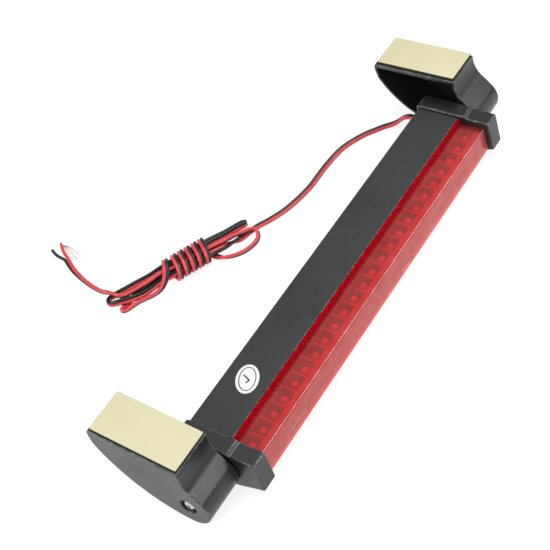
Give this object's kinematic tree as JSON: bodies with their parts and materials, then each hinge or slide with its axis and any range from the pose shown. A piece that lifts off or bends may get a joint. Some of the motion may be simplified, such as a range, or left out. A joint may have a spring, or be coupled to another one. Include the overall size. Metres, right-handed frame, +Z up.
{
  "type": "third brake light",
  "caption": "Slim brake light bar: black housing, recessed red lens over an LED row, swivel end brackets with adhesive pads, and a folded lead with bare ends.",
  "frame": {"origin": "middle of the housing's flat underside, which rests on the table", "axes": "+X along the bar towards the end the lead leaves, -Y towards the lens edge, +Z up, the way the LEDs shine"},
  "size_m": [0.3274, 0.2161, 0.049],
  "materials": {
    "black_plastic": "satin black moulded plastic",
    "red_lens": "clear red plastic",
    "board_green": "solder-masked board",
    "cup_plastic": "pale reflector plastic",
    "led_epoxy": "red clear epoxy",
    "resistor_body": "lacquered resistor",
    "diode_body": "black epoxy",
    "foam": "black foam tape",
    "liner": "waxed paper liner, pale yellow",
    "steel": "bright zinc-plated steel",
    "rubber": "soft black rubber",
    "label_white": "matt white label",
    "wire_red": "red PVC insulation",
    "wire_black": "black PVC insulation"
  },
  "bodies": {
    "bar": {"housing": "black_plastic", "lens": "red_lens", "led_board": "board_green", "led_cup_strip": "cup_plastic", "polarity_diode": "diode_body", "end_cap_left": "black_plastic", "end_cap_right": "black_plastic", "pivot_screw_left": "steel", "pivot_screw_right": "steel", "pivot_washer_left": "steel", "pivot_washer_right": "steel", "cord_grommet": "rubber", "qc_label": "label_white", "feed_wire_red": "wire_red", "feed_wire_black": "wire_black", "cord_lead": "wire_red", "cord_hank": "wire_red", "cord_winding": "wire_red", "cord_loop": "wire_red", "cord_tail": "wire_red", "cord_tip_red": "wire_red", "cord_tip_black": "wire_black", "led_01": "led_epoxy", "led_02": "led_epoxy", "led_03": "led_epoxy", "led_04": "led_epoxy", "led_05": "led_epoxy", "led_06": "led_epoxy", "led_07": "led_epoxy", "led_08": "led_epoxy", "led_09": "led_epoxy", "led_10": "led_epoxy", "led_11": "led_epoxy", "led_12": "led_epoxy", "led_13": "led_epoxy", "led_14": "led_epoxy", "led_15": "led_epoxy", "led_16": "led_epoxy", "led_17": "led_epoxy", "led_18": "led_epoxy", "led_19": "led_epoxy", "led_20": "led_epoxy", "led_21": "led_epoxy", "led_22": "led_epoxy", "led_23": "led_epoxy", "led_24": "led_epoxy", "resistor_1": "resistor_body", "resistor_2": "resistor_body", "resistor_3": "resistor_body", "resistor_4": "resistor_body", "resistor_5": "resistor_body", "resistor_6": "resistor_body", "resistor_7": "resistor_body", "resistor_8": "resistor_body"},
    "left_bracket": {"bracket_left": "black_plastic", "foam_tape_left": "foam", "tape_liner_left": "liner"},
    "right_bracket": {"bracket_right": "black_plastic", "foam_tape_right": "foam", "tape_liner_right": "liner"}
  },
  "joints": [
    {"name": "left_swivel", "type": "hinge", "parent": "bar", "child": "left_bracket", "pos_m": [-0.15, 0.0008, 0.0131], "axis": [1, 0, 0], "range_deg": [-95.8, 84.2]},
    {"name": "right_swivel", "type": "hinge", "parent": "bar", "child": "right_bracket", "pos_m": [0.15, 0.0008, 0.0131], "axis": [1, 0, 0], "range_deg": [-89.3, 90.7]}
  ]
}
